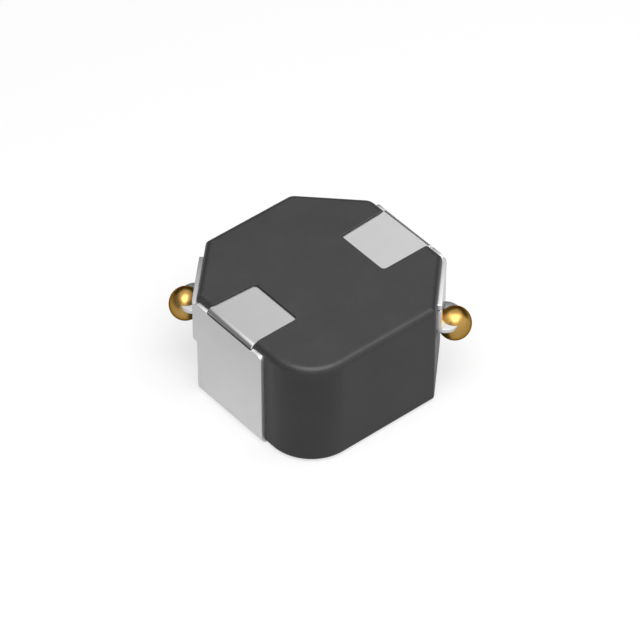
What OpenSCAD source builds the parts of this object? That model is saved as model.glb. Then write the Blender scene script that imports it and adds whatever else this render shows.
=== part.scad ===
// Shielded surface-mount power inductor, lying on its two solder pads.
// X runs from terminal to terminal, Z is up, and the origin is under the middle of the part.

/* [Block] */
// Length of the moulded block, across its two terminal faces
block_l = 5; // [4.8:0.1:5.6]
// Width of the moulded block, across its two plain faces
block_w = 5; // [4.8:0.1:5.6]
// Height of the moulded block
block_h = 2.73; // [2.7:0.05:3.4]
// Leg of the three cut corners
corner_cut = 1.285; // [1.2:0.05:1.35]
// Radius of the one round corner
corner_r = 1.1; // [0.8:0.1:1.2]
// Rounding of the upright edges
arris_r = 0.1; // [0.08:0.01:0.15]
// Rounding of the upright edge on the right, opposite the round corner
back_arris_r = 0.3; // [0.1:0.05:0.4]
// Rounding of the edge around the top face
top_edge_r = 0.17; // [0.1:0.01:0.2]
// Rounding of the edge around the underside
foot_edge_r = 0.1; // [0.06:0.01:0.12]

/* [Winding] */
// Diameter of the enamelled wire
wire_d = 0.3; // [0.26:0.01:0.31]
// Gap between neighbouring turns, filled by enamel and resin
turn_gap = 0.03; // [0.03:0.005:0.04]
// Diameter of the hole through the coil
coil_bore_d = 1.9; // [1.6:0.1:2]
// Turns in the two outer layers, the inner one has one more
layer_turns = 4; // [3:1:4]
// Layers of turns
layers = 3; // [3:2:3]
// Space between the winding and the block moulded around it
mould_gap = 0.02; // [0.01:0.005:0.03]

/* [Terminal] */
// Thickness of the tinned sheet
sheet_t = 0.1; // [0.08:0.01:0.12]
// Reach of the side plate from the middle line to its free end
plate_free = 1.14; // [1:0.02:1.2]
// Reach of the side plate from the middle line to its wing end
plate_wing = 1.1; // [1:0.02:1.14]
// Distance from the top face down to the plate's shoulders
shoulder_drop = 0.15; // [0.12:0.01:0.2]
// Rounding of the plate's free shoulder
shoulder_r = 0.12; // [0.05:0.01:0.15]
// Distance that the top tab lies below the top face
tab_drop = 0.05; // [0.04:0.01:0.1]
// Width of the top tab where it bends
tab_w = 1.51; // [1.2:0.01:1.6]
// Distance of the top tab's middle from the part's middle line, towards its straight edge
tab_shift = 0.018; // [0:0.002:0.04]
// Length of the left top tab over the block, from the block's end face
left_tab_l = 1.22; // [1:0.01:1.4]
// Length of the right top tab over the block, from the block's end face
right_tab_l = 1.33; // [1:0.01:1.4]
// How much one edge of the top tab closes in towards its end
tab_taper = 0.07; // [0:0.01:0.15]
// Rounding of the top tab's corners
tab_corner_r = 0.09; // [0.03:0.01:0.15]
// Inner radius of the bend between plate and top tab
tab_bend_r = 0.055; // [0.04:0.005:0.06]
// Radius of the groove pressed into the sheet along the foot of that bend
groove_r = 0.03; // [0.02:0.005:0.035]
// Clearance around the tab and the pad in their recesses
recess_gap = 0.01; // [0.01:0.005:0.04]
// Length of the solder pad under the block, from the block's end face
pad_l = 1.15; // [0.9:0.05:1.3]
// Inner radius of the bend between plate and solder pad
pad_bend_r = 0.1; // [0.08:0.01:0.12]
// Height of the block's underside above the solder pads' faces
standoff = 0.03; // [0.02:0.01:0.05]

/* [Wing and shelf] */
// Distance from the top face down to the wing's upper edge
wing_drop = 0.2; // [0.16:0.01:0.3]
// Length of the wing along the cut corner
wing_l = 1.46; // [1.3:0.02:1.6]
// Height of the wing beside the plate
wing_h = 1.08; // [1:0.01:1.2]
// Rounding of the wing's lower corner beside the shelf
wing_corner_r = 0.12; // [0.05:0.01:0.15]
// Distance from the wing's upper edge down to the slit at its end
slit_drop = 0.15; // [0.12:0.01:0.3]
// Width of the slit
slit_w = 0.03; // [0.02:0.005:0.05]
// Length of the slit from the wing's end
slit_l = 0.4; // [0.2:0.05:0.6]
// Distance from the top face down to the shelf
shelf_drop = 0.96; // [0.9:0.01:0.98]
// Start of the shelf along the cut corner
shelf_start = 0.48; // [0.45:0.01:0.55]
// Width of the shelf along the cut corner
shelf_w = 0.94; // [0.8:0.02:0.96]
// Reach of the shelf from the cut corner's face
shelf_out = 0.5; // [0.45:0.01:0.55]
// Rounding of the shelf's two free corners
shelf_corner_r = 0.35; // [0.2:0.05:0.35]
// Inner radius of the bend between wing and shelf
shelf_bend_r = 0.03; // [0.02:0.005:0.05]

/* [Weld bead] */
// Diameter of the bead of melted wire
bead_d = 0.775; // [0.7:0.025:0.85]
// Distance of the bead's centre from the cut corner's face
bead_out = 0.365; // [0.35:0.005:0.42]
// Distance of the bead's centre below the shelf's upper side
bead_below = 0.21; // [0.15:0.01:0.25]
// Gap between the bead and the cut corner's face
bead_gap = 0.01; // [0.005:0.005:0.03]
// Depth to which the wire's end runs into the bead, from the cut corner's face
wire_out = 0.3; // [0.2:0.02:0.4]

/* [Hidden] */
$fn = 64;

half_l = block_l / 2;
half_w = block_w / 2;
block_top = standoff + block_h;
tab_top = block_top - tab_drop;
shoulder_z = block_top - shoulder_drop;
wing_top = block_top - wing_drop;
wing_foot = wing_top - wing_h;
shelf_top = block_top - shelf_drop;
shelf_mid = shelf_start + shelf_w / 2;
slit_z = wing_top - slit_drop;
tab_bend_out = tab_bend_r + sheet_t;
pad_bend_out = pad_bend_r + sheet_t;
bead_z = shelf_top - bead_below;
groove_angle = 71;

wire_r = wire_d / 2;
pitch = wire_d + turn_gap;
exit_z = shelf_top - sheet_t - wire_r - turn_gap / 3;
coil_base = standoff + (block_h - (layer_turns + 1) * pitch - wire_d) / 2 + wire_r;
coil_low = coil_base + pitch;
coil_high = coil_low + layer_turns * pitch;
inner_r = coil_bore_d / 2 + wire_r;
outer_r = inner_r + (layers - 1) * pitch;
coil_clear = outer_r + wire_r + mould_gap;

// Distance from the part's axis to the face of a cut corner
cut_face = (half_l + half_w - corner_cut) / sqrt(2);
// Place along that face where the wire comes out, sideways from the axis
exit_side = (half_l - half_w + corner_cut) / sqrt(2) - shelf_mid;
// Radius at which the leads turn upright beside the coil
lead_r = (coil_clear + cut_face) / 2;

wire_sides = 8;
steps_per_turn = 20;
shift_turn = 1 / 3;
corner_steps = 1;
round_steps = 8;
edge_steps = 3;
past = 0.1;

// Plain vector helpers
function unit(v) = v / norm(v);
function heading(a) = [cos(a), sin(a)];
function left_of(a) = [-sin(a), cos(a)];
function ease(f) = f * f * (3 - 2 * f);

// Points around a corner that turns left, coming from the heading way
function rounded(vertex, way, turn, r, steps) =
    let (centre = vertex - r * tan(turn / 2) * heading(way) + r * left_of(way))
    [for (i = [0:steps]) centre - r * left_of(way + turn * i / steps)];

// Outline of the block, counter-clockwise, moved inwards by inset
function corners() = [
    // vertex, heading of the edge before it, turn, radius, steps
    [[-half_l, -half_w], -90, 90, corner_r, round_steps],
    [[half_l - corner_cut, -half_w], 0, 45, arris_r, corner_steps],
    [[half_l, -half_w + corner_cut], 45, 45, arris_r, corner_steps],
    [[half_l, half_w - corner_cut], 90, 45, back_arris_r, 2 * corner_steps],
    [[half_l - corner_cut, half_w], 135, 45, arris_r, corner_steps],
    [[-half_l + corner_cut, half_w], 180, 45, arris_r, corner_steps],
    [[-half_l, half_w - corner_cut], 225, 45, arris_r, corner_steps],
];

function outline(inset) = [for (c = corners())
    each rounded(c[0] + inset / cos(c[2] / 2) * left_of(c[1] + c[2] / 2),
                 c[1], c[2], max(c[3] - inset, arris_r / 2), c[4])];

function at_height(points, z) = [for (p = points) [p[0], p[1], z]];

// One ring of points per height, following the rounded edges below and above
function block_rings() = concat(
    [for (i = [0:edge_steps])
        let (a = 90 * i / edge_steps)
        at_height(outline(foot_edge_r * (1 - sin(a))), standoff + foot_edge_r * (1 - cos(a)))],
    [for (i = [0:edge_steps])
        let (a = 90 * i / edge_steps)
        at_height(outline(top_edge_r * (1 - cos(a))), block_top - top_edge_r * (1 - sin(a)))]);

// Closed skin over a stack of rings that have equal numbers of points
module skin(rings) {
    n = len(rings[0]);
    last = len(rings) - 1;
    sides = [for (i = [0:last - 1], j = [0:n - 1])
        let (k = (j + 1) % n)
        each [[i * n + j, (i + 1) * n + j, (i + 1) * n + k],
              [i * n + j, (i + 1) * n + k, i * n + k]]];
    polyhedron(points = [for (r = rings) each r],
               faces = concat([[for (j = [0:n - 1]) j]], sides,
                              [[for (j = [n - 1:-1:0]) last * n + j]]));
}

// Rings of a round wire along a path, turned as little as possible from point to point
function tangent(path, i) =
    unit(path[min(i + 1, len(path) - 1)] - path[max(i - 1, 0)]);

function square_to(v, t) = unit(v - (v * t) * t);

function wire_normals(path) =
    [for (i = 0, n = square_to([0, 0, 1], tangent(path, 0));
          i < len(path);
          i = i + 1, n = i < len(path) ? square_to(n, tangent(path, i)) : n) n];

function wire_rings(path, r) =
    let (normals = wire_normals(path))
    [for (i = [0:len(path) - 1])
        let (n = normals[i], b = cross(tangent(path, i), n))
        [for (k = [0:wire_sides - 1])
            let (a = -360 * k / wire_sides)
            path[i] + r * (cos(a) * n + sin(a) * b)]];

// Point beside the axis: along the heading, sideways to its left, and up
function beside(a, out, side, z) =
    [each (out * heading(a) + side * left_of(a)), z];

// Corner of a wire, rounded between a point before it and a point after it
bend_reach = 0.2;
bend_steps = 6;
function bend(before, at, after) =
    let (p = at + bend_reach * unit(before - at), q = at + bend_reach * unit(after - at))
    [for (i = [0:bend_steps])
        let (f = i / bend_steps)
        (1 - f) * (1 - f) * p + 2 * f * (1 - f) * at + f * f * q];

// Angles at which the leads meet the coil
left_heading = 135;
right_heading = -45;
lead_far = norm([lead_r, exit_side]);
left_lead_angle = left_heading + atan2(exit_side, lead_r);
right_lead_angle = right_heading + atan2(exit_side, lead_r);
start_angle = left_lead_angle + acos(inner_r / lead_far);
end_angle = right_lead_angle - acos(outer_r / lead_far);

// Turns of the inner layer, of each move outwards and of the layers after it
inner_turns = layer_turns + 1;
middle_turns = inner_turns + (layers - 2) * (shift_turn + layer_turns);
spare = (end_angle - start_angle) / 360 - middle_turns - shift_turn;
last_turns = layer_turns - 1 + spare - floor(spare);
coil_turns = middle_turns + shift_turn + last_turns;

// Radius and height of the wire after t turns
function later_layer(t) = floor((t - inner_turns) / (shift_turn + layer_turns));
function coil_point(t) =
    t <= inner_turns ? [inner_r, coil_base + pitch * t] :
    let (k = later_layer(t),
         s = t - inner_turns - k * (shift_turn + layer_turns),
         shift = ease(min(s / shift_turn, 1)),
         travel = max(s - shift_turn, 0) * pitch)
    [inner_r + (k + shift) * pitch, k % 2 == 0 ? coil_high - travel : coil_low + travel];

function coil_path() =
    let (steps = ceil(coil_turns * steps_per_turn))
    [for (i = [0:steps])
        let (t = coil_turns * i / steps, p = coil_point(t), a = start_angle + 360 * t)
        [p[0] * cos(a), p[0] * sin(a), p[1]]];

// Lead from a weld bead to the height at which it meets the coil
function lead_path(a, meet_z, meet) =
    let (tip = beside(a, cut_face + wire_out, exit_side, exit_z),
         upper = beside(a, lead_r, exit_side, exit_z),
         lower = beside(a, lead_r, exit_side, meet_z))
    concat([tip], bend(tip, upper, lower), bend(upper, lower, meet));

function reversed(list) = [for (i = [len(list) - 1:-1:0]) list[i]];

coil = coil_path();
left_lead = lead_path(left_heading, coil_base, coil[0]);
right_lead = lead_path(right_heading, coil[len(coil) - 1][2], coil[len(coil) - 1]);

module coil_winding() {
    color("#B5652B") skin(wire_rings(concat(left_lead, coil, reversed(right_lead)), wire_r));
}

// Round hole between two points
module bore(from, to, r) {
    along = to - from;
    translate(from) rotate([0, acos(along[2] / norm(along)), atan2(along[1], along[0])])
        cylinder(r = r, h = norm(along));
}

// Room for one lead: out through the cut corner, upright beside the coil, and in to the coil
module lead_room(a, meet_z, meet) {
    r = wire_r + mould_gap;
    upper = beside(a, lead_r, exit_side, exit_z);
    lower = beside(a, lead_r, exit_side, meet_z);
    low = min(upper[2], lower[2]);
    bore(upper, beside(a, cut_face + past, exit_side, exit_z), r);
    translate([lower[0], lower[1], low - r]) cylinder(r = r, h = abs(exit_z - meet_z) + 2 * r);
    bore(lower, meet, r);
}

// Room for the turns of the coil
module coil_room() {
    inner = coil_bore_d / 2 - mould_gap;
    low = coil_low - wire_r - mould_gap;
    rotate_extrude() polygon([
        [inner, low - pitch],
        [inner + wire_d + 2 * mould_gap, low - pitch],
        [inner + wire_d + 2 * mould_gap, low],
        [coil_clear, low],
        [coil_clear, coil_high + wire_r + mould_gap],
        [inner, coil_high + wire_r + mould_gap]]);
}

// Recesses for the top tab and the solder pad of the terminal on the -X side
module terminal_room(taper_side, tab_l) {
    span = plate_free + plate_wing + 2 * recess_gap;
    beside_middle(taper_side) {
        translate([0, 0, tab_top - sheet_t])
            linear_extrude(tab_drop + sheet_t + past)
                tab_outline(taper_side, tab_l, -half_l - past, recess_gap);
        translate([-half_l - past, -tab_w / 2 - recess_gap, tab_top - tab_bend_out])
            cube([past + tab_bend_r, tab_w + 2 * recess_gap, tab_bend_out]);
    }
    translate([-half_l - past, -plate_free - recess_gap, -past])
        cube([past + pad_l + recess_gap, span, past + sheet_t]);
    translate([-half_l - past, -plate_free - recess_gap, -past])
        cube([past + pad_bend_r, span, past + pad_bend_out]);
}

module moulded_block() {
    color("#4A4A4B") difference() {
        skin(block_rings());
        coil_room();
        lead_room(left_heading, coil_base, coil[0]);
        lead_room(right_heading, coil[len(coil) - 1][2], coil[len(coil) - 1]);
        terminal_room(1, left_tab_l);
        rotate([0, 0, 180]) terminal_room(-1, right_tab_l);
    }
}

// Place of the top tab, off the middle line towards its straight edge
module beside_middle(taper_side) {
    translate([0, -taper_side * tab_shift, 0]) children();
}

// Outline of the top tab from above, one long edge square and the other tapered
module tab_outline(taper_side, tab_l, root, grow) {
    edge = tab_w / 2 + grow;
    tip = -half_l + tab_l + grow;
    r = tab_corner_r + grow;
    lean = atan(tab_taper / (tip - root));
    mirror([0, taper_side > 0 ? 0 : 1]) polygon(concat(
        [[root, edge], [root, -edge]],
        rounded([tip, -edge], 0, 90, r, 4),
        rounded([tip, edge - tab_taper], 90, 90 - lean, r, 4)));
}

// Quarter or eighth of a sheet bend about Z, from the -X side towards +Y or -Y
module sheet_bend(inner, angle, height) {
    rotate_extrude(angle = angle) translate([inner, 0]) square([sheet_t, height]);
}

// Upright plate with shoulders beside the top tab and its free upper corner rounded
module side_plate(taper_side) {
    low = pad_bend_out;
    high = shoulder_z;
    translate([-half_l, 0, 0]) rotate([90, 0, -90]) linear_extrude(sheet_t) difference() {
        translate([-plate_wing, low]) square([plate_wing + plate_free, high - low]);
        translate([plate_free - shoulder_r, high - shoulder_r]) difference() {
            square(shoulder_r);
            circle(shoulder_r);
        }
        translate([taper_side * tab_shift - tab_w / 2 - 2 * recess_gap, tab_top - tab_bend_out])
            square([tab_w + 4 * recess_gap, high]);
    }
}

module top_tab(taper_side, tab_l) {
    beside_middle(taper_side) {
        translate([-half_l - sheet_t + tab_bend_out, tab_w / 2, tab_top - tab_bend_out])
            rotate([90, 0, 0]) rotate([0, 0, 90]) difference() {
                sheet_bend(tab_bend_r, 90, tab_w);
                rotate([0, 0, groove_angle]) translate([tab_bend_out, 0, -past])
                    cylinder(r = groove_r, h = tab_w + 2 * past);
            }
        translate([0, 0, tab_top - sheet_t]) linear_extrude(sheet_t)
            tab_outline(taper_side, tab_l, -half_l - sheet_t + tab_bend_out, 0);
    }
}

module solder_pad() {
    width = plate_free + plate_wing;
    start = -half_l - sheet_t + pad_bend_out;
    translate([start, plate_wing, pad_bend_out])
        rotate([90, 0, 0]) rotate([0, 0, 180]) sheet_bend(pad_bend_r, 90, width);
    translate([start, -plate_free, 0]) cube([-half_l + pad_l - start, width, sheet_t]);
}

// Wing bent around the cut corner, its lower corner rounded, with the slit at its end
module wing() {
    centre = [-half_l + arris_r, half_w - corner_cut - arris_r * tan(22.5)];
    bend = [for (i = [0:4]) heading(180 - 45 * i / 4)];
    difference() {
        translate([0, 0, wing_foot]) linear_extrude(wing_h) polygon(concat(
            [[-half_l, 0]],
            [for (d = bend) centre + arris_r * d],
            [on_cut(shelf_start, 0), on_cut(shelf_start, sheet_t)],
            reversed([for (d = bend) centre + (arris_r + sheet_t) * d]),
            [[-half_l - sheet_t, 0]]));
        on_cut_corner() translate([shelf_start - wing_corner_r, sheet_t + past, wing_foot])
            rotate([90, 0, 0]) linear_extrude(sheet_t + 2 * past) difference() {
                translate([0, -past]) square(wing_corner_r + past);
                translate([0, wing_corner_r]) circle(wing_corner_r);
            }
    }
    on_cut_corner() difference() {
        translate([shelf_start - sheet_t, 0, shelf_top + shelf_bend_r])
            cube([wing_l - shelf_start + sheet_t, sheet_t, wing_top - shelf_top - shelf_bend_r]);
        translate([wing_l - slit_l, -past, slit_z - slit_w])
            cube([slit_l + past, sheet_t + 2 * past, slit_w]);
    }
}

function on_cut(u, v) = [-half_l, half_w - corner_cut] + u * heading(45) + v * heading(135);

// Frame of the cut corner: X along it from the terminal's face, Y outwards, Z up
module on_cut_corner() {
    translate([-half_l, half_w - corner_cut, 0]) rotate([0, 0, 45]) children();
}

// Shelf bent outwards from the foot of the wing
module shelf() {
    start = sheet_t + shelf_bend_r;
    on_cut_corner() {
        translate([shelf_start, start, shelf_top + shelf_bend_r])
            rotate([90, 0, 90]) rotate([0, 0, 180]) sheet_bend(shelf_bend_r, 90, shelf_w);
        translate([shelf_start, start, shelf_top - sheet_t]) linear_extrude(sheet_t) {
            reach = shelf_out - start;
            r = shelf_corner_r;
            square([shelf_w, reach - r]);
            translate([r, 0]) square([shelf_w - 2 * r, reach]);
            for (x = [r, shelf_w - r]) translate([x, reach - r]) circle(r);
        }
    }
}

module terminal(taper_side, tab_l) {
    side_plate(taper_side);
    top_tab(taper_side, tab_l);
    solder_pad();
    wing();
    shelf();
}

module left_terminal() {
    color("#C6C6C6") terminal(1, left_tab_l);
}

module right_terminal() {
    color("#C6C6C6") rotate([0, 0, 180]) terminal(-1, right_tab_l);
}

// Bead of melted wire that has run around the shelf and the wire's end.
// The ball's axis points outwards, which keeps its seam clear of the shelf's edges.
module weld_bead() {
    difference() {
        on_cut_corner() difference() {
            translate([shelf_mid, bead_out, bead_z]) rotate([-90, 0, 0]) sphere(d = bead_d);
            translate([shelf_mid - bead_d, bead_gap - bead_d, bead_z - bead_d])
                cube([2 * bead_d, bead_d, 2 * bead_d]);
        }
        wing();
        shelf();
        on_cut_corner() translate([shelf_mid, 0, exit_z]) rotate([-90, 0, 0])
            cylinder(d = wire_d, h = wire_out);
    }
}

module left_weld_bead() {
    color("#C8963C") weld_bead();
}

module right_weld_bead() {
    color("#C8963C") rotate([0, 0, 180]) weld_bead();
}

moulded_block();
coil_winding();
left_terminal();
right_terminal();
left_weld_bead();
right_weld_bead();
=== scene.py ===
"""Dressed model of a shielded surface-mount power inductor.

A moulded powder block with three cut corners holds a copper coil. Two folded tin-plated
terminals clip round its end faces, and each carries a shelf on which the wire's end is melted
into a bead. Sizes are in millimetres until a finished mesh is scaled to metres.
"""

import logging
import math
from dataclasses import dataclass, field
from enum import Enum

import bmesh
import bpy
import numpy as np
from mathutils import Matrix, Vector

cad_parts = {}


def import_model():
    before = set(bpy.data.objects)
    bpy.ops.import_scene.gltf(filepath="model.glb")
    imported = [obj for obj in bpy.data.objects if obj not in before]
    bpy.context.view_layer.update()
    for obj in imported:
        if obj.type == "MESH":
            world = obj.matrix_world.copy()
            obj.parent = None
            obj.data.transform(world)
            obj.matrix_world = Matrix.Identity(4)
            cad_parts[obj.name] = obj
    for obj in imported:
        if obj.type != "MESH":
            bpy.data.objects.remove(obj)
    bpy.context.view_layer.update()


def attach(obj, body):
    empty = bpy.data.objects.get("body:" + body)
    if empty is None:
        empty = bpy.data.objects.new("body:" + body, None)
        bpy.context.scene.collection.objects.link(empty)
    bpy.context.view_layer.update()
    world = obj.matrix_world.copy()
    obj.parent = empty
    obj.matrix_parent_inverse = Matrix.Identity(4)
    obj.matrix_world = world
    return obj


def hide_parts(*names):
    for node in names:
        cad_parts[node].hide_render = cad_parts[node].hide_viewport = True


MM = 0.001
BODY = "root"
LOG = logging.getLogger("inductor")
QUARTER = math.pi / 2.0

Material = bpy.types.Material
Object = bpy.types.Object
Socket = bpy.types.NodeSocket
Tree = bpy.types.NodeTree
Skin = tuple[np.ndarray, list[list[int]]]


class Side(Enum):
    """End of the block that a terminal, a lead and a bead belong to."""

    LEFT = 1.0
    RIGHT = -1.0

    @property
    def word(self) -> str:
        """Name of the side as the nodes have it."""
        return self.name.lower()

    def place(self, points: np.ndarray) -> np.ndarray:
        """Turns points that were worked out for the left end half round for the right end."""
        return points * np.array([self.value, self.value, 1.0])


class Slot(Enum):
    """Names of the material slots."""

    BLOCK = "moulded_powder"
    SHEET = "tinned_sheet"
    WIRE = "enamelled_copper"
    BEAD = "weld_metal"


# Plane geometry


def heading(degrees: np.ndarray | float) -> np.ndarray:
    """Unit vectors in the plane at these angles from X."""
    angle = np.radians(degrees)
    return np.stack([np.cos(angle), np.sin(angle)], axis=-1)


def left_of(degrees: np.ndarray | float) -> np.ndarray:
    """Unit vectors a quarter turn to the left of these headings."""
    return heading(np.asarray(degrees) + 90.0)


def rounded(
    vertex: tuple[float, float] | np.ndarray, way: float, turn: float, radius: float, steps: int
) -> np.ndarray:
    """Points around a rounded corner of an outline.

    The arc's centre lies a radius to the inside of both edges, so the arc touches each edge
    radius * tan(turn / 2) away from the vertex.

    Args:
        vertex: Where the two straight edges would meet.
        way: Heading of the edge that comes in, in degrees.
        turn: Turn to the left at the corner, negative for one to the right.
        radius: Radius of the arc.
        steps: Straight pieces in the arc.

    Returns:
        An array of steps + 1 points.
    """
    inner = math.copysign(1.0, turn)
    half = math.radians(abs(turn) / 2.0)
    centre = vertex - radius * math.tan(half) * heading(way) + inner * radius * left_of(way)
    return centre - inner * radius * left_of(way + turn * np.linspace(0.0, 1.0, steps + 1))


def ring_faces(rings: int, count: int, wrap: bool = False) -> np.ndarray:
    """Four-sided faces between neighbouring rings of points.

    Args:
        rings: Number of rings.
        count: Points in each ring, which is closed.
        wrap: Whether the last ring joins the first.

    Returns:
        Indices, four for each face, facing outwards where the rings run counter-clockwise
        seen from the last ring's side.
    """
    i, j = np.meshgrid(np.arange(rings if wrap else rings - 1), np.arange(count), indexing="ij")
    k, up = (j + 1) % count, (i + 1) % rings
    corners = [i * count + j, i * count + k, up * count + k, up * count + j]
    return np.stack(corners, axis=-1).reshape(-1, 4)


def capped(rings: np.ndarray) -> Skin:
    """Closed skin over a stack of rings.

    Args:
        rings: Points as an array of rings by points by three.

    Returns:
        The points and the faces, with one flat face over each end.
    """
    count = rings.shape[1]
    faces = ring_faces(rings.shape[0], count).tolist()
    faces.append(list(range(count))[::-1])
    faces.append(list(range((rings.shape[0] - 1) * count, rings.shape[0] * count)))
    return rings.reshape(-1, 3), faces


def prism(outline: np.ndarray, low: float, high: float) -> Skin:
    """Upright prism on a flat outline, from one height to another."""
    return capped(np.array([at_height(outline, z) for z in (low, high)]))


def box_outline(low: tuple[float, float], high: tuple[float, float]) -> np.ndarray:
    """Corners of an upright rectangle, counter-clockwise."""
    return np.array([low, (high[0], low[1]), high, (low[0], high[1])], float)


def at_height(outline: np.ndarray, z: float) -> np.ndarray:
    """Points of a flat outline, lifted to one height."""
    return np.column_stack([outline, np.full(len(outline), z)])


def tube_rings(path: np.ndarray, beside: np.ndarray, radius: float, sides: int) -> np.ndarray:
    """Rings of a round wire carried along a path.

    Each ring stands square to the path. Its first direction is the given side vector with its
    part along the path taken off, and its second is the cross product of the two.

    Args:
        path: Points along the middle of the wire.
        beside: For each point, a vector that is never along the path.
        radius: Radius of the wire.
        sides: Points in each ring.

    Returns:
        An array of path points by sides by three.
    """
    along = np.gradient(path, axis=0)
    along /= np.linalg.norm(along, axis=1, keepdims=True)
    first = beside - (beside * along).sum(axis=1, keepdims=True) * along
    first /= np.linalg.norm(first, axis=1, keepdims=True)
    second = np.cross(along, first)
    angle = np.linspace(0.0, 2.0 * np.pi, sides, endpoint=False)[None, :, None]
    offset = np.cos(angle) * first[:, None, :] + np.sin(angle) * second[:, None, :]
    return path[:, None, :] + radius * offset


# Meshes and objects


def new_object(name: str, points: np.ndarray, faces: list[list[int]]) -> Object:
    """Makes an object from points in millimetres and links it to the scene."""
    mesh = bpy.data.meshes.new(name)
    mesh.from_pydata(points.tolist(), [], faces)
    mesh.update()
    thing = bpy.data.objects.new(name, mesh)
    bpy.context.scene.collection.objects.link(thing)
    return thing


def settle(thing: Object) -> None:
    """Replaces an object's mesh by the one that its modifiers give."""
    bpy.context.view_layer.update()
    graph = bpy.context.evaluated_depsgraph_get()
    made = bpy.data.meshes.new_from_object(thing.evaluated_get(graph))
    old = thing.data
    thing.modifiers.clear()
    thing.data = made
    bpy.data.meshes.remove(old)


def carve(thing: Object, tools: list[Object]) -> None:
    """Takes the shapes of other objects out of a mesh, and removes those objects."""
    for tool in tools:
        cut = thing.modifiers.new("cut", "BOOLEAN")
        cut.operation, cut.solver, cut.object = "DIFFERENCE", "EXACT", tool
    settle(thing)
    for tool in tools:
        mesh = tool.data
        bpy.data.objects.remove(tool)
        bpy.data.meshes.remove(mesh)


def soften(thing: Object, width: float, segments: int, angle: float) -> None:
    """Rounds the edges that are sharper than an angle.

    Args:
        thing: Object whose mesh is in millimetres.
        width: Width of the rounding.
        segments: Strips in each rounding.
        angle: Least angle between two faces, in degrees.
    """
    bevel = thing.modifiers.new("soften", "BEVEL")
    bevel.limit_method, bevel.angle_limit = "ANGLE", math.radians(angle)
    bevel.width, bevel.segments = width, segments
    bevel.use_clamp_overlap = True
    settle(thing)


def finish_piece(
    thing: Object,
    material: Material,
    nodes: tuple[str, ...],
    sharp: float,
) -> None:
    """Scales a finished mesh to metres, shades and dresses it, and ties it to the frame.

    Args:
        thing: Object whose mesh is in millimetres.
        material: Its finish, unless its mesh has its materials already.
        nodes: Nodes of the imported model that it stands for.
        sharp: Angle in degrees above which an edge is drawn sharp.
    """
    mesh = thing.data
    mesh.transform(Matrix.Scale(MM, 4))
    mesh.shade_smooth()
    mesh.set_sharp_from_angle(angle=math.radians(sharp))
    if not mesh.materials:
        mesh.materials.append(material)
    level = thing.modifiers.new("even shading", "WEIGHTED_NORMAL")
    level.keep_sharp = True
    level.weight = 100
    settle(thing)
    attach(thing, BODY)
    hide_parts(*nodes)
    LOG.info("%s: %d faces", thing.name, len(thing.data.polygons))


# Finishes


def linear(code: str) -> tuple[float, float, float, float]:
    """Linear colour of an sRGB hex code such as 4b4b4c."""
    parts = [int(code[i : i + 2], 16) / 255.0 for i in (0, 2, 4)]
    made = [c / 12.92 if c <= 0.04045 else ((c + 0.055) / 1.055) ** 2.4 for c in parts]
    return (made[0], made[1], made[2], 1.0)


def add_node(tree: Tree, kind: str, sockets: dict, **settings: object) -> bpy.types.Node:
    """Adds a node, sets its properties and feeds its sockets.

    Args:
        tree: Node tree to add to.
        kind: Blender's name of the node type.
        sockets: Input name or number to a value, or to the output that is linked to it.
        settings: Properties of the node.

    Returns:
        The new node.
    """
    node = tree.nodes.new(kind)
    for name, value in settings.items():
        setattr(node, name, value)
    for name, value in sockets.items():
        if isinstance(value, Socket):
            tree.links.new(value, node.inputs[name])
        else:
            node.inputs[name].default_value = value
    return node


def bare_tree(owner: Material | bpy.types.World) -> Tree:
    """Empty node tree of a material or a world."""
    owner.use_nodes = True
    owner.node_tree.nodes.clear()
    return owner.node_tree


class Paint:
    """Material on Object coordinates, put together from a few kinds of node."""

    def __init__(self, name: str) -> None:
        """Starts an empty material."""
        self.material = bpy.data.materials.new(name)
        self.tree = bare_tree(self.material)
        self.where = add_node(self.tree, "ShaderNodeTexCoord", {}).outputs["Object"]

    def noise(self, size: float, detail: float, roughness: float = 0.5) -> Socket:
        """Even noise whose widest cells are a size in millimetres."""
        sockets = {"Vector": self.where, "Scale": 1.0 / (size * MM), "Detail": detail,
                   "Roughness": roughness}
        return add_node(self.tree, "ShaderNodeTexNoise", sockets).outputs["Fac"]

    def maths(self, operation: str, *values: Socket | float) -> Socket:
        """Result of an operation on values."""
        sockets = dict(enumerate(values))
        return add_node(self.tree, "ShaderNodeMath", sockets, operation=operation).outputs[0]

    def spread(self, value: Socket, ends: tuple[float, float],
               taken: tuple[float, float] = (0.0, 1.0)) -> Socket:
        """Turns values between the two taken into values between two ends."""
        sockets = {"Value": value, "From Min": taken[0], "From Max": taken[1],
                   "To Min": ends[0], "To Max": ends[1]}
        return add_node(self.tree, "ShaderNodeMapRange", sockets).outputs[0]

    def blend(self, share: Socket, dark: str, pale: str) -> Socket:
        """Mixes two colours by a share."""
        sockets = {0: share, 6: linear(dark), 7: linear(pale)}
        return add_node(self.tree, "ShaderNodeMix", sockets, data_type="RGBA").outputs[2]

    def bump(self, height: Socket, strength: float, depth: float) -> Socket:
        """Normal of a relief with a depth in millimetres."""
        sockets = {"Height": height, "Strength": strength, "Distance": depth * MM}
        return add_node(self.tree, "ShaderNodeBump", sockets).outputs[0]

    def finish(self, sockets: dict) -> Material:
        """Gives the material a Principled surface with these sockets, and returns it."""
        surface = add_node(self.tree, "ShaderNodeBsdfPrincipled", sockets)
        add_node(self.tree, "ShaderNodeOutputMaterial", {"Surface": surface.outputs[0]})
        return self.material


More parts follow.
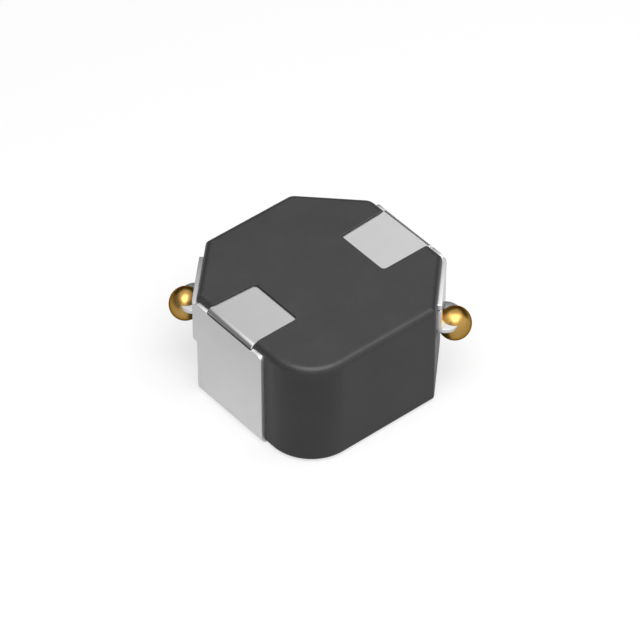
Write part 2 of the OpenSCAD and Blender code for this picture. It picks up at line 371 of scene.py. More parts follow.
def pressed_powder() -> Material:
    """Iron powder pressed with resin: matt dark grey, with grains of 0.05 mm in faint patches."""
    paint = Paint("pressed iron powder")
    grain = paint.noise(size=0.05, detail=3.0, roughness=0.6)
    patch = paint.noise(size=0.9, detail=2.0)
    share = paint.spread(paint.maths("ADD", grain, patch), ends=(0.0, 1.0), taken=(0.7, 1.3))
    return paint.finish({
        "Base Color": paint.blend(share, dark="39393a", pale="404041"),
        "Roughness": paint.spread(grain, ends=(0.31, 0.39)),
        "IOR": 1.5,
        "Specular IOR Level": 0.38,
        "Normal": paint.bump(grain, strength=0.35, depth=0.004),
    })


def tin_plating() -> Material:
    """Tin plated on copper sheet: pale satin metal, cloudy, with a fine frosted grain.

    Its tone is painted lighter from the top of the left end, where it is darkest, to the right and
    down, through its whole range over either of the two painted-light lengths. This is painted
    shade and painted reflection for how the light falls on the two terminals; the cloud is the
    plating's own.
    """
    # Painted light: the tone gets lighter to the right and downwards, painted shade at the top of
    # the left end and painted reflection at the foot and on the right terminal.
    painted_light_across, painted_light_down, painted_light_start = 5.2 * MM, 2.7 * MM, -1.35
    cloud_share = 0.3
    paint = Paint("tin-plated sheet")
    cloud = paint.noise(size=0.5, detail=4.0)
    grain = paint.noise(size=0.03, detail=2.0)
    painted_light_slope = (1.0 / painted_light_across, 0.0, -1.0 / painted_light_down)
    painted_light_drift = add_node(paint.tree, "ShaderNodeVectorMath", {0: paint.where, 1: painted_light_slope},
                     operation="DOT_PRODUCT")
    # The random cloud is the plating's own mottling; the drift added to it is painted shade and
    # painted reflection.
    cloud_and_painted_light = paint.maths("MULTIPLY_ADD", cloud, cloud_share, painted_light_drift.outputs["Value"])
    tone = paint.spread(cloud_and_painted_light, ends=(0.0, 1.0), taken=(painted_light_start, painted_light_start + 1.0))
    return paint.finish({
        "Base Color": paint.blend(tone, dark="dcdcdd", pale="f6f6f7"),
        "Metallic": 1.0,
        "Roughness": paint.spread(cloud, ends=(0.26, 0.34)),
        "Normal": paint.bump(grain, strength=0.25, depth=0.003),
    })


def edge_with_painted_highlight() -> Material:
    """Sheared edge of the tin-plated sheet: pale and matt, with fine drag lines.

    Its pale tone is a painted highlight on the cut edges; its roughness and drag lines are its
    own.
    """
    paint = Paint("sheared edge of the tin-plated sheet")
    drag = paint.noise(size=0.02, detail=2.0)
    return paint.finish({
        # Painted highlight: a pale tone that makes the cut edges read bright.
        "Base Color": linear("eeeeee"),
        "Metallic": 1.0,
        "Roughness": 0.42,
        "Normal": paint.bump(drag, strength=0.2, depth=0.002),
    })


def wire_enamel() -> Material:
    """Clear polyurethane enamel over drawn copper: glossy reddish brown, a little uneven."""
    paint = Paint("enamelled copper wire")
    streak = paint.noise(size=0.2, detail=2.0)
    return paint.finish({
        "Base Color": linear("b5652b"),
        "Metallic": 1.0,
        "Roughness": paint.spread(streak, ends=(0.25, 0.4)),
        "Coat Weight": 0.8,
        "Coat Roughness": 0.08,
        "Coat IOR": 1.55,
    })


def melted_metal() -> Material:
    """Copper melted into the tin by an arc: yellow bronze, tarnished and a little rippled."""
    paint = Paint("melted copper and tin")
    tarnish = paint.noise(size=0.35, detail=3.0)
    return paint.finish({
        "Base Color": paint.blend(tarnish, dark="b48840", pale="d8b36c"),
        "Metallic": 1.0,
        "Roughness": 0.3,
        # Painted reflection: the dark Specular Tint darkens the bead's rim at grazing angles,
        # standing in for the dark surroundings that the rim reflects.
        "Specular Tint": linear("7a5424"),
        "Normal": paint.bump(tarnish, strength=0.3, depth=0.01),
    })


# The object


@dataclass
class MouldedBlock:
    """Block of pressed powder with three cut corners and one round corner."""

    length: float = 5.0
    width: float = 5.0
    height: float = 2.73
    standoff: float = 0.03
    corner_cut: float = 1.285
    corner_radius: float = 1.1
    arris: float = 0.1
    back_arris: float = 0.3
    top_round: float = 0.17
    foot_round: float = 0.1
    rim: float = 0.02
    least_round: float = 0.03
    round_steps: int = 28
    arris_steps: int = 6
    back_steps: int = 8
    profile_steps: int = 10
    sharp: float = 32.0

    @property
    def half(self) -> np.ndarray:
        """Half of the length and of the width."""
        return np.array([self.length, self.width]) / 2.0

    @property
    def top(self) -> float:
        """Height of the top face above the solder pads' faces."""
        return self.standoff + self.height

    @property
    def cut_face(self) -> float:
        """Distance from the part's axis to the face of a cut corner."""
        return (self.half.sum() - self.corner_cut) / math.sqrt(2.0)

    def on_cut(
        self, u: np.ndarray | float, v: np.ndarray | float, z: np.ndarray | float
    ) -> np.ndarray:
        """Points given on the left end's cut corner.

        Args:
            u: Distance along the cut from the end face's edge.
            v: Distance outwards from the cut's face.
            z: Height.

        Returns:
            The points in the part's frame: edge + u * heading(45) + v * heading(135).
        """
        u, v, z = np.broadcast_arrays(u, v, z)
        edge = np.array([-self.half[0], self.half[1] - self.corner_cut])
        flat = edge + u[..., None] * heading(45.0) + v[..., None] * heading(135.0)
        return np.concatenate([flat, z[..., None]], axis=-1)

    def outline(self, inset: float) -> np.ndarray:
        """Outline of the block, counter-clockwise, moved inwards by inset."""
        (x, y), cut = self.half, self.corner_cut
        corners = [
            ((-x, -y), -90.0, 90.0, self.corner_radius, self.round_steps),
            ((x - cut, -y), 0.0, 45.0, self.arris, self.arris_steps),
            ((x, -y + cut), 45.0, 45.0, self.arris, self.arris_steps),
            ((x, y - cut), 90.0, 45.0, self.back_arris, self.back_steps),
            ((x - cut, y), 135.0, 45.0, self.back_arris, self.back_steps),
            ((-x + cut, y), 180.0, 45.0, self.arris, self.arris_steps),
            ((-x, y - cut), 225.0, 45.0, self.arris, self.arris_steps),
        ]
        parts = []
        for vertex, way, turn, radius, steps in corners:
            reach = inset / math.cos(math.radians(turn / 2.0))
            moved = np.array(vertex) + reach * left_of(way + turn / 2.0)
            inner = max(radius - inset, self.least_round)
            parts.append(rounded(moved, way, turn, inner, steps))
        return np.concatenate(parts)

    def rings(self) -> np.ndarray:
        """Outlines stacked from the underside to the top face.

        On a rounded edge of radius r the outline at angle a is inset by r * (1 - sin a) at the
        foot and by r * (1 - cos a) at the top, and a narrow flat rim closes each end.
        """
        angle = np.linspace(0.0, QUARTER, self.profile_steps + 1)
        foot = np.stack([self.foot_round * (1.0 - np.sin(angle)),
                         self.standoff + self.foot_round * (1.0 - np.cos(angle))], axis=1)
        crown = np.stack([self.top_round * (1.0 - np.cos(angle)),
                          self.top - self.top_round * (1.0 - np.sin(angle))], axis=1)
        first = [[self.foot_round + self.rim, self.standoff]]
        last = [[self.top_round + self.rim, self.top]]
        levels = np.concatenate([first, foot, crown, last])
        return np.array([at_height(self.outline(inset), z) for inset, z in levels])

    def build(self, rooms: list[Object], material: Material) -> None:
        """Makes the block with its recesses.

        Args:
            rooms: Objects whose shapes are taken out of it.
            material: Its finish.
        """
        block = new_object("moulded_body", *capped(self.rings()))
        carve(block, rooms)
        finish_piece(block, material, ("moulded_block",), self.sharp)


@dataclass
class FoldedTerminal:
    """Tin-plated sheet, cut to a flat blank and folded round one end of the block.

    A drop is measured down from the block's top face or from the wing's upper edge, and a fold
    is the height, or the place along the blank, at which a bend starts.
    """

    block: MouldedBlock
    side: Side
    tab_length: float
    thickness: float = 0.1
    free_reach: float = 1.14
    wing_reach: float = 1.1
    shoulder_drop: float = 0.15
    shoulder_radius: float = 0.12
    tab_drop: float = 0.05
    tab_width: float = 1.51
    tab_shift: float = 0.018
    tab_taper: float = 0.07
    tab_corner: float = 0.09
    tab_bend: float = 0.055
    groove: float = 0.028
    groove_depth: float = 0.085
    groove_foot: float = 0.5
    groove_angle: float = 71.0
    relief: float = 0.02
    clearance: float = 0.01
    pad_length: float = 1.15
    pad_bend: float = 0.1
    pad_corner: float = 0.05
    small_corner: float = 0.03
    step_start: float = 0.04
    step_end: float = -0.002
    step_angle: float = 50.0
    wing_drop: float = 0.2
    wing_length: float = 1.46
    wing_height: float = 1.08
    wing_corner: float = 0.12
    slit_drop: float = 0.15
    slit_width: float = 0.045
    slit_length: float = 0.4
    shelf_drop: float = 0.96
    shelf_start: float = 0.48
    shelf_width: float = 0.94
    shelf_out: float = 0.5
    shelf_corner: float = 0.35
    shelf_bend: float = 0.03
    shelf_gap: float = 0.015
    burr: float = 0.015
    burr_strips: int = 3
    burr_angle: float = 50.0
    small_steps: int = 3
    pad_steps: int = 4
    corner_steps: int = 5
    shoulder_steps: int = 6
    shelf_steps: int = 12
    bend_steps: int = 8
    sharp: float = 40.0

    def __post_init__(self) -> None:
        """Works out the heights and places that the blank and its folds share."""
        block = self.block
        # The tab stands off the end's middle, towards the end's straight edge.
        self.tab_middle = -self.tab_shift * self.side.value
        self.tab_top = block.top - self.tab_drop
        self.tab_fold = self.tab_top - self.thickness - self.tab_bend
        self.pad_fold = self.thickness + self.pad_bend
        # The bend round the cut corner starts before the edge at which the two faces meet.
        self.arris_lead = block.arris * math.tan(QUARTER / 4.0)
        self.wing_fold = block.width / 2.0 - block.corner_cut - self.arris_lead
        self.wing_start = self.wing_fold + block.arris * QUARTER / 2.0
        self.wing_top = block.top - self.wing_drop
        # The shelf bends outwards, so the sheet's inner face takes the wider radius.
        self.shelf_skin = self.thickness + self.shelf_bend
        self.shelf_top = block.top - self.shelf_drop
        self.shelf_fold = self.shelf_top + self.shelf_bend

    def along(self, u: float) -> float:
        """Place along the blank of a distance along the cut corner."""
        return self.wing_start + u - self.arris_lead

    def tab_slant(self, height: float) -> tuple[np.ndarray, np.ndarray]:
        """How the tab's two long edges close in, that towards the wing first at the left end.

        Args:
            height: Length of the tab over which they close in.

        Returns:
            How far each closes in, and how much each leans in degrees.
        """
        close = np.array([self.tab_taper, 0.0])
        if self.side is Side.RIGHT:
            close = close[::-1]
        return close, np.degrees(np.arctan(close / height))

    def blank(self) -> np.ndarray:
        """Outline of the flat blank, counter-clockwise.

        The first number runs along the end face and on along the wing, and the second is the
        height on the end face, which runs on over the top tab, the pad and the shelf.
        """
        free, wing = -self.free_reach, self.wing_reach
        near, tab = self.tab_middle + self.tab_width / 2.0 * np.array([-1.0, 1.0])
        rel = self.relief
        tip = self.tab_fold + self.tab_bend * QUARTER + self.tab_length - self.tab_bend
        foot = self.pad_fold - self.pad_bend * QUARTER - (self.pad_length - self.pad_bend)
        shoulder = self.block.top - self.shoulder_drop
        rim = self.shelf_fold - self.shelf_skin * QUARTER - (self.shelf_out - self.shelf_skin)
        low = self.wing_top - self.wing_height
        step = self.along(self.shelf_start)
        inner = step + self.shelf_gap
        outer = self.along(self.shelf_start + self.shelf_width)
        end = self.along(self.wing_length)
        slit = self.wing_top - self.slit_drop
        root, foot_of_slit = end - self.slit_length, slit - self.slit_width
        pad, shelf = (self.pad_corner, self.pad_steps), (self.shelf_corner, self.shelf_steps)
        small, corner = (self.small_corner, self.small_steps), (self.tab_corner, self.corner_steps)
        close, lean = self.tab_slant(tip - self.tab_fold)
        parts = [
            rounded((free, foot), -90.0, 90.0, *pad),
            rounded((wing, foot), 0.0, 90.0, *pad),
            rounded((wing, low), 90.0, -90.0, *small),
            rounded((step, low), 0.0, 90.0, self.wing_corner, self.corner_steps),
            [(step, self.shelf_fold), (inner, self.shelf_fold)],
            rounded((inner, rim), -90.0, 90.0, *shelf),
            rounded((outer, rim), 0.0, 90.0, *shelf),
            [(outer, self.shelf_fold)],
            rounded((end, self.shelf_fold), 0.0, 90.0, *small),
            [(end, foot_of_slit), (root, foot_of_slit), (root, slit), (end, slit)],
            rounded((end, self.wing_top), 90.0, 90.0, *small),
            rounded((wing + self.step_start, self.wing_top), 180.0, -self.step_angle, *small),
            rounded((wing + self.step_end, shoulder), 180.0 - self.step_angle, self.step_angle,
                    *small),
            [(tab + rel, shoulder), (tab + rel, self.tab_fold), (tab, self.tab_fold)],
            rounded((tab - close[0], tip), 90.0 + lean[0], 90.0 - lean[0], *corner),
            rounded((near + close[1], tip), 180.0, 90.0 - lean[1], *corner),
            [(near, self.tab_fold), (near - rel, self.tab_fold), (near - rel, shoulder)],
            rounded((free, shoulder), 180.0, 90.0, self.shoulder_radius, self.shoulder_steps),
        ]
        return np.concatenate([np.asarray(part, float) for part in parts])

    def creased(self) -> Skin:
        """Cuts the blank's single face along the lines of its bends.

        Returns:
            The flat points, and the faces between the lines, turned to look out of the block.
        """
        outline = self.blank()
        sheet = bmesh.new()
        made = [sheet.verts.new((p, q, 0.0)) for p, q in outline]
        sheet.faces.new(made)
        snap, every = 1e-6, 100.0

        def cut(axis: int, place: float, low: float, high: float) -> None:
            """Cuts the faces whose middle lies between two values of the other number."""
            chosen = [f for f in sheet.faces
                      if low < f.calc_center_median()[1 - axis] < high]
            parts = chosen + list({e for f in chosen for e in f.edges})
            parts += list({v for f in chosen for v in f.verts})
            point, normal = [0.0] * 3, [0.0] * 3
            point[axis], normal[axis] = place, 1.0
            bmesh.ops.bisect_plane(sheet, geom=parts, dist=snap, plane_co=point,
                                   plane_no=normal)

        share = np.linspace(0.0, 1.0, self.bend_steps + 1)
        for place in self.wing_fold + (self.wing_start - self.wing_fold) * share[::2]:
            cut(0, float(place), -every, every)
        for place in self.pad_fold - self.pad_bend * QUARTER * share:
            cut(1, float(place), -every, self.wing_reach)
        for place in self.tab_fold + self.tab_bend * QUARTER * share:
            cut(1, float(place), self.tab_middle - self.tab_width / 2.0,
                self.tab_middle + self.tab_width / 2.0)
        for place in self.shelf_fold - self.shelf_skin * QUARTER * share:
            cut(1, float(place), self.along(self.shelf_start) + self.shelf_gap, every)
        sheet.verts.index_update()
        flat = np.array([v.co[:2] for v in sheet.verts])
        faces = [[v.index for v in f.verts][::-1] for f in sheet.faces]
        sheet.free()
        return flat, faces

    def folded(self, flat: np.ndarray) -> np.ndarray:
        """Folds the inner face of the blank round the block.

        The end face keeps its numbers. A bend of radius r turns the length s past its line into
        the angle s / r, and the rest of the sheet runs straight on. The shelf bends the other
        way, so its inner face follows the outer side of the bend.

        Args:
            flat: Points on the blank.

        Returns:
            The points of the sheet's inner face in the part's frame.
        """
        p, q = flat[:, 0], flat[:, 1]
        wall = -self.block.length / 2.0
        reach = (self.tab_width + self.relief) / 2.0
        in_tab = (np.abs(p - self.tab_middle) < reach) & (q > self.tab_fold)
        x, z = np.full_like(p, wall), q.copy()
        for fold, radius, way, chosen in (
            (self.tab_fold, self.tab_bend, 1.0, in_tab),
            (self.pad_fold, self.pad_bend, -1.0, q < self.pad_fold),
        ):
            past = np.clip((q - fold) * way, 0.0, None)
            angle = np.minimum(past / radius, QUARTER)
            straight = np.clip(past - radius * QUARTER, 0.0, None)
            x = np.where(chosen, wall + radius * (1.0 - np.cos(angle)) + straight, x)
            z = np.where(chosen, fold + way * radius * np.sin(angle), z)
        face = np.stack([x, p, z], axis=1)

        # Round the cut corner: an eighth of a turn, then straight along the cut.
        arris = self.block.arris
        turn = np.clip((p - self.wing_fold) / arris, 0.0, QUARTER / 2.0)
        bend = np.stack([wall + arris * (1.0 - np.cos(turn)),
                         self.wing_fold + arris * np.sin(turn), q], axis=1)
        u = self.arris_lead + p - self.wing_start
        out = self.shelf_skin
        in_shelf = p > self.along(self.shelf_start) + self.shelf_gap / 2.0
        past = np.where(in_shelf, np.clip(self.shelf_fold - q, 0.0, None), 0.0)
        angle = np.minimum(past / out, QUARTER)
        v = out * (1.0 - np.cos(angle)) + np.clip(past - out * QUARTER, 0.0, None)
        height = np.where(past > 0.0, self.shelf_fold - out * np.sin(angle), q)
        wing = self.block.on_cut(u, v, height)
        made = np.where((p > self.wing_fold)[:, None], bend, face)
        return np.where((p > self.wing_start)[:, None], wing, made)

    def build(self, material: Material, edge: Material) -> None:
        """Makes the folded sheet with its softened cut edges.

        Args:
            material: Finish of the sheet's two faces.
            edge: Finish of its cut edges, whose pale tone paints their highlights.
        """
        flat, faces = self.creased()
        points = self.side.place(self.folded(flat))
        sheet = new_object(f"{self.side.word}_clip_terminal", points, faces)
        sheet.data.materials.append(material)
        sheet.data.materials.append(edge)
        wall = sheet.modifiers.new("sheet thickness", "SOLIDIFY")
        wall.thickness, wall.offset = self.thickness, 1.0
        wall.use_even_offset, wall.material_offset_rim = True, 1
        settle(sheet)
        # The slit's two faces take the sheet's finish, so the edge finish's painted highlight
        # stays out of the slit.
        slit = self.wing_top - self.slit_drop - self.slit_width / 2.0
        for face in sheet.data.polygons:
            if abs(face.center.z - slit) < self.slit_width:
                face.material_index = 0
        soften(sheet, self.burr, self.burr_strips, self.burr_angle)
        carve(sheet, [self.groove_tool()])
        finish_piece(sheet, material, (f"{self.side.word}_terminal",), self.sharp)

    def groove_tool(self) -> Object:
        """Bar that presses the groove into the outer side of the top bend's foot."""
        way = math.radians(self.groove_angle)
        out = np.array([-math.sin(way), math.cos(way)])
        up = np.array([math.cos(way), math.sin(way)])
        centre = np.array([-self.block.length / 2.0 + self.tab_bend, self.tab_fold])
        skin = self.tab_bend + self.thickness
        mouth, floor = skin + self.thickness / 2.0, skin - self.groove_depth
        corners = [centre + reach * out + side * self.groove * up
                   for reach, side in ((mouth, -1.0), (mouth, 1.0),
                                       (floor, self.groove_foot), (floor, -self.groove_foot))]
        half = (self.tab_width + self.relief) / 2.0
        rings = np.array([[(x, y, z) for x, z in corners]
                          for y in (self.tab_middle - half, self.tab_middle + half)])
        points, faces = capped(rings)
        return new_object("groove_bar", self.side.place(points), faces)

    def rooms(self) -> list[Object]:
        """Shapes of the recesses that the tab and the pad lie in."""
        wall, past = -self.block.length / 2.0, 0.1
        gap = self.clearance
        near, edge = self.tab_middle + (self.tab_width / 2.0 + gap) * np.array([-1.0, 1.0])
        tip = wall + self.tab_length + gap
        radius = self.tab_corner + gap
        close, lean = self.tab_slant(tip - wall)
        steps = self.corner_steps
        tab = np.concatenate([
            [(wall - past, edge), (wall - past, near)],
            rounded((tip, near + close[1]), lean[1], 90.0 - lean[1], radius, steps),
            rounded((tip, edge - close[0]), 90.0, 90.0 - lean[0], radius, steps),
        ])
        low_y, high_y = -self.free_reach - gap, self.wing_reach + gap
        bend = box_outline((wall - past, near), (wall + self.tab_bend, edge))
        pad = box_outline((wall - past, low_y), (wall + self.pad_length + gap, high_y))
        heel = box_outline((wall - past, low_y), (wall + self.pad_bend, high_y))
        shapes = [
            prism(tab, self.tab_top - self.thickness, self.block.top + past),
            prism(bend, self.tab_fold, self.block.top + past),
            prism(pad, -past, self.thickness),
            prism(heel, -past, self.pad_fold),
        ]
        word = self.side.word
        return [new_object(f"{word}_room_{i}", self.side.place(points), faces)
                for i, (points, faces) in enumerate(shapes)]


@dataclass
class CoilWinding:
    """Round enamelled wire wound in layers, with a lead to each bead."""

    block: MouldedBlock
    terminal: FoldedTerminal
    wire: float = 0.3
    turn_gap: float = 0.03
    bore: float = 1.9
    layer_turns: int = 4
    layers: int = 3
    mould_gap: float = 0.02
    wire_out: float = 0.3
    shift_turn: float = 1.0 / 3.0
    steps_per_turn: int = 40
    sides: int = 16
    lead_gap: float = 0.01
    bend_reach: float = 0.2
    bend_points: int = 11
    room_sides: int = 96
    sharp: float = 50.0

    def __post_init__(self) -> None:
        """Works out the heights, radii and angles that the routes share."""
        block, shelf = self.block, self.terminal
        self.radius = self.wire / 2.0
        self.pitch = self.wire + self.turn_gap
        self.exit_z = shelf.shelf_top - shelf.thickness - self.radius - self.lead_gap
        stack = (self.layer_turns + 1) * self.pitch + self.wire
        self.base = block.standoff + (block.height - stack) / 2.0 + self.radius
        self.low = self.base + self.pitch
        self.high = self.low + self.layer_turns * self.pitch
        self.inner = self.bore / 2.0 + self.radius
        self.outer = self.inner + (self.layers - 1) * self.pitch
        self.clear = self.outer + self.radius + self.mould_gap
        self.lead_r = (self.clear + block.cut_face) / 2.0
        middle = shelf.shelf_start + shelf.shelf_width / 2.0
        span = (block.length - block.width) / 2.0 + block.corner_cut
        self.exit_side = span / math.sqrt(2.0) - middle
        far = math.hypot(self.lead_r, self.exit_side)
        swing = math.degrees(math.atan2(self.exit_side, self.lead_r))
        self.start = 135.0 + swing + math.degrees(math.acos(self.inner / far))
        end = -45.0 + swing - math.degrees(math.acos(self.outer / far))
        self.inner_turns = self.layer_turns + 1
        middle_turns = self.inner_turns + (self.layers - 2) * (self.shift_turn + self.layer_turns)
        spare = (end - self.start) / 360.0 - middle_turns - self.shift_turn
        last = self.layer_turns - 1 + spare - math.floor(spare)
        self.turns = middle_turns + self.shift_turn + last

    def coil(self) -> tuple[np.ndarray, np.ndarray]:
        """Middle line of the turns, and the way outwards from the axis at each point.

        The inner layer climbs by one pitch a turn. Each later layer first moves one pitch
        outwards along a smooth step, then runs back at one pitch a turn.
        """
        t = np.linspace(0.0, self.turns, math.ceil(self.turns * self.steps_per_turn) + 1)
        past = np.clip(t - self.inner_turns, 0.0, None)
        cycle = self.shift_turn + self.layer_turns
        layer = np.floor(past / cycle)
        within = past - layer * cycle
        share = np.clip(within / self.shift_turn, 0.0, 1.0)
        ease = share * share * (3.0 - 2.0 * share)
        travel = np.clip(within - self.shift_turn, 0.0, None) * self.pitch
        later = t > self.inner_turns
        radius = self.inner + np.where(later, (layer + ease) * self.pitch, 0.0)
        back = np.where(layer % 2 == 0, self.high - travel, self.low + travel)
        height = np.where(later, back, self.base + self.pitch * t)
        outwards = heading(self.start + 360.0 * t)
        path = np.column_stack([radius[:, None] * outwards, height])
        return path, np.column_stack([outwards, np.zeros(len(t))])

    def lead(self, side: Side, meet: np.ndarray) -> tuple[np.ndarray, np.ndarray]:
        """Middle line of a lead from inside the bead to where it meets the coil.

        It runs straight in through the cut corner, turns upright beside the coil, and turns
        level again. Each turn is a curve through two points a short reach from the corner.

        Args:
            side: End of the block that it comes out of.
            meet: Point of the coil that it runs to.

        Returns:
            The points, and the sideways vector at each point.
        """
        way = 135.0 if side is Side.LEFT else -45.0
        across = left_of(way)

        def at(out: float, z: float) -> np.ndarray:
            """Point a distance out from the axis, in line with the bead."""
            return np.array([*(out * heading(way) + self.exit_side * across), z])

        tip = at(self.block.cut_face + self.wire_out, self.exit_z)
        upper, lower = at(self.lead_r, self.exit_z), at(self.lead_r, float(meet[2]))
        share = np.linspace(0.0, 1.0, self.bend_points)[:, None]

        def bend(before: np.ndarray, corner: np.ndarray, after: np.ndarray) -> np.ndarray:
            """Quadratic curve that rounds one corner of the route."""
            first = corner + self.bend_reach * (before - corner) / np.linalg.norm(before - corner)
            last = corner + self.bend_reach * (after - corner) / np.linalg.norm(after - corner)
            return (1 - share) ** 2 * first + 2 * share * (1 - share) * corner + share**2 * last

        path = np.concatenate([[tip], bend(tip, upper, lower), bend(upper, lower, meet)])
        return path, np.tile([*across, 0.0], (len(path), 1))

    def route(self) -> tuple[np.ndarray, np.ndarray]:
        """Whole middle line of the wire, with a side vector at each point."""
        coil, outwards = self.coil()
        first, first_side = self.lead(Side.LEFT, coil[0])
        last, last_side = self.lead(Side.RIGHT, coil[-1])
        first_side *= np.sign((first_side[-1] * outwards[0]).sum())
        last_side *= np.sign((last_side[-1] * outwards[-1]).sum())
        path = np.concatenate([first, coil, last[::-1]])
        return path, np.concatenate([first_side, outwards, last_side])

    def build(self, material: Material) -> None:
        """Makes the wire as one closed tube."""
        path, beside = self.route()
        rings = tube_rings(path, beside, self.radius, self.sides)
        wire = new_object("wound_wire", *capped(rings))
        finish_piece(wire, material, ("coil_winding",), self.sharp)

    def rooms(self) -> list[Object]:
        """Shapes of the space round the coil and round its leads."""
        gap, count = self.mould_gap, self.room_sides
        inner, low = self.bore / 2.0 - gap, self.low - self.radius - gap
        step = inner + self.wire + 2.0 * gap
        profile = np.array([
            (inner, low - self.pitch), (step, low - self.pitch), (step, low),
            (self.clear, low), (self.clear, self.high + self.radius + gap),
            (inner, self.high + self.radius + gap),
        ])
        around = heading(np.linspace(0.0, 360.0, count, endpoint=False))
        flat = profile[:, None, 0, None] * around[None, :, :]
        high = np.broadcast_to(profile[:, None, 1, None], (len(profile), count, 1))
        ring = np.concatenate([flat, high], axis=2)
        faces = ring_faces(len(profile), count, wrap=True).tolist()
        made = [new_object("coil_room", ring.reshape(-1, 3), faces)]
        coil, _ = self.coil()
        for side, meet in ((Side.LEFT, coil[0]), (Side.RIGHT, coil[-1])):
            path, beside = self.lead(side, meet)
            path = np.concatenate([path, [meet]])
            path[0] += path[0] - path[1]
            rings = tube_rings(path, np.tile(beside[0], (len(path), 1)), self.radius + gap,
                               self.sides)
            made.append(new_object(f"{side.word}_lead_room", *capped(rings)))
        return made


@dataclass
class WeldBead:
    """Bead of metal melted from the wire's end round the rim of the shelf."""

    terminal: FoldedTerminal
    diameter: float = 0.775
    out: float = 0.365
    below: float = 0.21
    gap: float = 0.01
    sag: float = 0.02
    two_waves: float = 0.012
    three_waves: float = 0.008
    wave_turn: float = 0.6
    rows: int = 48
    columns: int = 72
    sharp: float = 60.0

    def build(self, material: Material) -> None:
        """Makes the bead.

        A point at polar angle a and turn b lies at the bead's radius, changed by a few broad
        waves of a hundredth or two of it, so the melt isn't a perfect ball. Towards the block
        it is flat, a hair away from the cut corner's face.
        """
        radius = self.diameter / 2.0
        a = np.linspace(0.0, np.pi, self.rows + 1)[1:-1, None]
        b = np.linspace(0.0, 2.0 * np.pi, self.columns, endpoint=False)[None, :]
        wave = self.two_waves * np.cos(2.0 * b + self.wave_turn)
        wave = np.sin(a) * (wave + self.three_waves * np.sin(3.0 * b))
        wave = wave + self.sag * np.cos(a) * np.sin(a) ** 2
        reach = radius * (1.0 + wave)
        shelf, side = self.terminal, self.terminal.side
        mid_u = shelf.shelf_start + shelf.shelf_width / 2.0
        mid_z = shelf.shelf_top - self.below
        u = mid_u + reach * np.sin(a) * np.cos(b)
        v = np.maximum(self.out + reach * np.sin(a) * np.sin(b), self.gap)
        z = mid_z - reach * np.cos(a) + 0.0 * b
        body = shelf.block.on_cut(u, v, z)
        poles = shelf.block.on_cut(mid_u, self.out, np.array([mid_z - radius, mid_z + radius]))
        points = side.place(np.concatenate([body.reshape(-1, 3), poles]))
        rows, count = body.shape[:2]
        faces = ring_faces(rows, count).tolist()
        low, high = rows * count, rows * count + 1
        step = np.arange(count)
        after = (step + 1) % count
        faces += np.stack([after, step, np.full(count, low)], axis=1).tolist()
        top = (rows - 1) * count
        faces += np.stack([top + step, top + after, np.full(count, high)], axis=1).tolist()
        bead = new_object(f"{side.word}_melted_bead", points, faces)
        finish_piece(bead, material, (f"{side.word}_weld_bead",), self.sharp)


# Studio


def hang(
    thing: Object, azimuth: float, elevation: float, distance: float, target: Vector
) -> None:
    """Places a lamp or a camera round the target and aims it there.

    Args:
        thing: The lamp or camera.
        azimuth: Its angle round the target in degrees, 0 being -Y.
        elevation: Its angle above the floor.
        distance: Its distance in millimetres.
        target: Point in metres that it looks at.
    """
    a, e = math.radians(azimuth), math.radians(elevation)
    back = Vector((math.sin(a) * math.cos(e), -math.cos(a) * math.cos(e), math.sin(e)))
    thing.location = target + back * distance * MM
    thing.rotation_euler = back.to_track_quat("Z", "Y").to_euler()
    bpy.context.scene.collection.objects.link(thing)


@dataclass(frozen=True)
class SoftLamp:
    """Round soft lamp aimed at the object."""

    name: str
    azimuth: float
    elevation: float
    size: float
    radiance: float
    distance: float = 60.0

    def build(self, target: Vector) -> None:
        """Makes the lamp. Its power is the radiance times pi times its area."""
        lamp = bpy.data.lights.new(self.name, "AREA")
        lamp.shape, lamp.size = "DISK", self.size * MM
        lamp.energy = self.radiance * (math.pi * self.size * MM / 2.0) ** 2
        thing = bpy.data.objects.new(self.name, lamp)
        hang(thing, self.azimuth, self.elevation, self.distance, target)


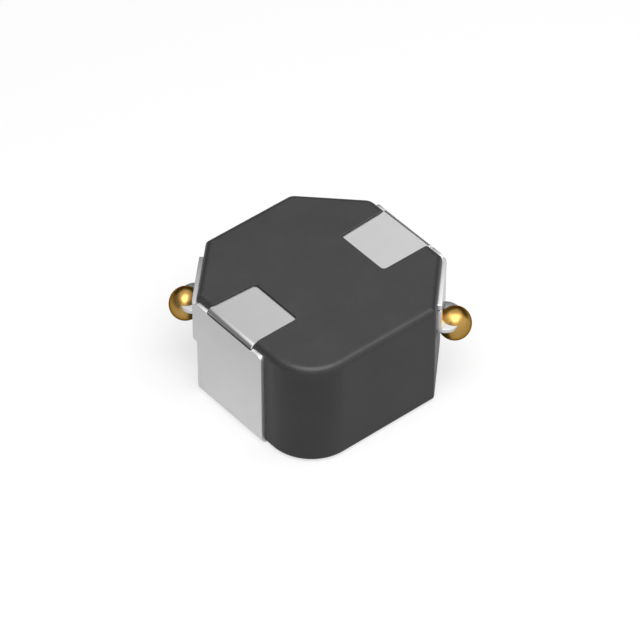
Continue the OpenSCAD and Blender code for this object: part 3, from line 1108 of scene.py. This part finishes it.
@dataclass
class Studio:
    """Pale floor, soft light and the photograph's camera."""

    azimuth: float = -39.655
    elevation: float = 43.113
    distance: float = 93.08
    focal: float = 236.4
    target_z: float = 1.397
    shift: tuple[float, float] = (0.00014, -0.00108)
    nearest: float = 1.0
    floor: float = 400.0
    floor_tone: str = "a0a0a0"
    ambient: float = 0.33
    sheen: float = 0.83
    floor_glow: float = 0.68
    floor_sheen: float = 0.47
    wall_radius: float = 150.0
    wall_panels: int = 23
    lamps: tuple[SoftLamp, ...] = field(default_factory=lambda: (
        SoftLamp("overhead front lamp", azimuth=-30.0, elevation=73.0, size=60.0, radiance=3.4),
        SoftLamp("right front lamp", azimuth=56.0, elevation=58.0, size=34.0, radiance=1.5),
    ))

    def build(self) -> None:
        """Makes the camera, the world, the floor, the walls and the lamps."""
        target = Vector((0.0, 0.0, self.target_z * MM))
        self.make_camera(target)
        self.make_world()
        self.make_floor()
        self.make_wall("dark back wall", first=-20.0, last=105.0, height=110.0, tone="1c1c1c")
        self.make_wall("pale left wall", first=105.0, last=200.0, height=175.0, tone="ececec")
        for lamp in self.lamps:
            lamp.build(target)
        bpy.context.scene.view_settings.view_transform = "Standard"

    def make_camera(self, target: Vector) -> None:
        """Makes the camera at the photograph's viewing angle."""
        data = bpy.data.cameras.new("photo camera")
        data.lens = self.focal
        data.shift_x, data.shift_y = self.shift
        data.clip_start = self.nearest * MM
        camera = bpy.data.objects.new("photo camera", data)
        hang(camera, self.azimuth, self.elevation, self.distance, target)
        bpy.context.scene.camera = camera

    def make_world(self) -> None:
        """Makes a world that looks white and lights the object more softly than it looks."""
        world = bpy.data.worlds.new("white room")
        tree = bare_tree(world)
        path = add_node(tree, "ShaderNodeLightPath", {})
        seen = path.outputs["Is Camera Ray"]
        for ray in ("Is Glossy Ray", "Is Transmission Ray"):
            seen = add_node(tree, "ShaderNodeMath", {0: seen, 1: path.outputs[ray]},
                            operation="MAXIMUM").outputs[0]
        strength = add_node(tree, "ShaderNodeMapRange",
                            {"Value": seen, "To Min": self.ambient, "To Max": self.sheen})
        shade = add_node(tree, "ShaderNodeBackground",
                         {"Color": linear("ffffff"), "Strength": strength.outputs[0]})
        add_node(tree, "ShaderNodeOutputWorld", {"Surface": shade.outputs[0]})
        bpy.context.scene.world = world

    @staticmethod
    def painted(thing: Object, name: str, tone: str) -> tuple[Tree, Socket, Socket]:
        """Scales a piece of the stage to metres and gives it plain matt paint.

        Args:
            thing: Piece of the stage, in millimetres.
            name: Name of its paint.
            tone: Colour as a hex code.

        Returns:
            The paint's node tree, its matt shader, and the socket that the shader feeds.
        """
        thing.data.transform(Matrix.Scale(MM, 4))
        paint = bpy.data.materials.new(name)
        thing.data.materials.append(paint)
        tree = bare_tree(paint)
        matt = add_node(tree, "ShaderNodeBsdfDiffuse", {"Color": linear(tone)}).outputs[0]
        output = add_node(tree, "ShaderNodeOutputMaterial", {"Surface": matt})
        return tree, matt, output.inputs["Surface"]

    def make_floor(self) -> None:
        """Makes the floor: white where nothing shades it, with the object's soft shadow."""
        half = self.floor / 2.0
        points = at_height(box_outline((-half, -half), (half, half)), 0.0)
        floor = new_object("floor", points, [[0, 1, 2, 3]])
        tree, matt, surface = self.painted(floor, "matt white floor", self.floor_tone)
        path = add_node(tree, "ShaderNodeLightPath", {})
        seen = add_node(tree, "ShaderNodeMath",
                        {0: path.outputs["Is Glossy Ray"], 1: self.floor_sheen,
                         2: path.outputs["Is Camera Ray"]}, operation="MULTIPLY_ADD")
        glow = add_node(tree, "ShaderNodeMapRange",
                        {"Value": seen.outputs[0], "To Max": self.floor_glow})
        light = add_node(tree, "ShaderNodeEmission",
                         {"Color": linear("ffffff"), "Strength": glow.outputs[0]})
        both = add_node(tree, "ShaderNodeAddShader", {0: matt, 1: light.outputs[0]})
        tree.links.new(both.outputs[0], surface)

    def make_wall(self, name: str, first: float, last: float, height: float, tone: str) -> None:
        """Makes a plain wall on an arc round the floor, out of the picture.

        Args:
            name: Name of the wall.
            first: Heading in degrees at which it starts.
            last: Heading at which it ends.
            height: Height in millimetres.
            tone: Colour as a hex code.
        """
        count = self.wall_panels + 1
        around = self.wall_radius * heading(np.linspace(first, last, count))
        points = np.concatenate([at_height(around, z) for z in (0.0, height)])
        step = np.arange(self.wall_panels)
        faces = np.stack([step + 1, step, step + count, step + count + 1], axis=1)
        wall = new_object(name, points, faces.tolist())
        self.painted(wall, f"matt paint of the {name}", tone)


def main() -> None:
    """Builds the part and its studio in order."""
    logging.basicConfig(level=logging.INFO, format="%(name)s %(message)s")
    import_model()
    Studio().build()
    powder, tin, enamel = pressed_powder(), tin_plating(), wire_enamel()
    edge, melt = edge_with_painted_highlight(), melted_metal()

    block = MouldedBlock()
    terminals = [FoldedTerminal(block, Side.LEFT, tab_length=1.22),
                 FoldedTerminal(block, Side.RIGHT, tab_length=1.33)]
    winding = CoilWinding(block, terminals[0])
    rooms = [room for terminal in terminals for room in terminal.rooms()]
    block.build(rooms + winding.rooms(), powder)
    winding.build(enamel)
    for terminal in terminals:
        terminal.build(tin, edge)
        WeldBead(terminal).build(melt)


if __name__ == "__main__":
    main()
